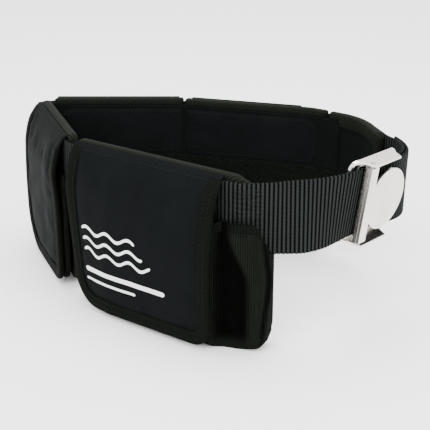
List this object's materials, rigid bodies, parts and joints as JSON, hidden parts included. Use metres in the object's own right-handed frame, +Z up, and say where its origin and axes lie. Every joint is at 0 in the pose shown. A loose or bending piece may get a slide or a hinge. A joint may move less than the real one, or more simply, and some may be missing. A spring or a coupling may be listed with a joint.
{
  "type": "dive weight belt",
  "caption": "Padded webbing belt with flap-closed weight pockets and a lever buckle, standing closed in a ring; worn round the waist to hold lead while diving.",
  "frame": {"origin": "centre of the bounding box on the surface the belt stands on", "axes": "+X to the wearer's-left side as seen from the front of the ring, where the buckle is; +Y from the front pocket to the rear pockets; +Z up along the wearer's body"},
  "size_m": [0.2964, 0.2376, 0.1241],
  "materials": {
    "panel": "matte",
    "binding": "satin",
    "pouch": "matte",
    "flap": "matte",
    "strip": "matte",
    "pad": "matte",
    "webbing": "satin",
    "lead": "matte",
    "steel": "satin"
  },
  "bodies": {
    "root": {"front_left_panel": "panel", "front_left_panel_binding": "binding", "right_panel": "panel", "right_panel_binding": "binding", "rear_right_panel": "panel", "rear_right_panel_binding": "binding", "rear_left_panel": "panel", "rear_left_panel_binding": "binding", "left_panel": "panel", "left_panel_binding": "binding", "front_left_pouch": "pouch", "front_left_loop_strip": "strip", "rear_right_pouch": "pouch", "rear_right_loop_strip": "strip", "rear_left_pouch": "pouch", "rear_left_loop_strip": "strip", "left_pouch": "pouch", "left_loop_strip": "strip", "front_left_lead_weight": "lead", "rear_right_lead_weight": "lead", "rear_left_lead_weight": "lead", "rear_right_waist_pad": "pad", "rear_left_waist_pad": "pad", "webbing_strap": "webbing", "buckle_frame": "steel", "buckle_pin": "steel"},
    "front_left_flap": {"front_left_flap": "flap", "front_left_flap_binding": "binding", "front_left_hook_strip": "strip"},
    "rear_right_flap": {"rear_right_flap": "flap", "rear_right_flap_binding": "binding", "rear_right_hook_strip": "strip"},
    "rear_left_flap": {"rear_left_flap": "flap", "rear_left_flap_binding": "binding", "rear_left_hook_strip": "strip"},
    "left_flap": {"left_flap": "flap", "left_flap_binding": "binding", "left_hook_strip": "strip"},
    "buckle_lever": {"buckle_lever": "steel"}
  },
  "joints": [
    {"name": "front_left_flap_hinge", "type": "hinge", "parent": "root", "child": "front_left_flap", "pos_m": [-0.03693, -0.06344, 0.1212], "axis": [-0.809, 0.5878, 0], "range_deg": [0, 135]},
    {"name": "rear_right_flap_hinge", "type": "hinge", "parent": "root", "child": "rear_right_flap", "pos_m": [0.0347, 0.08165, 0.1212], "axis": [0.9588, -0.284, 0], "range_deg": [0, 135]},
    {"name": "rear_left_flap_hinge", "type": "hinge", "parent": "root", "child": "rear_left_flap", "pos_m": [-0.07039, 0.09769, 0.1212], "axis": [1, 0, 0], "range_deg": [0, 135]},
    {"name": "left_flap_hinge", "type": "hinge", "parent": "root", "child": "left_flap", "pos_m": [-0.11563, 0.03493, 0.1212], "axis": [-0.3354, 0.9421, 0], "range_deg": [0, 135]},
    {"name": "buckle_lever_hinge", "type": "hinge", "parent": "root", "child": "buckle_lever", "pos_m": [0.11099, -0.07929, 0.09265], "axis": [-0.1155, 0.066, -0.9911], "range_deg": [0, 90]}
  ]
}
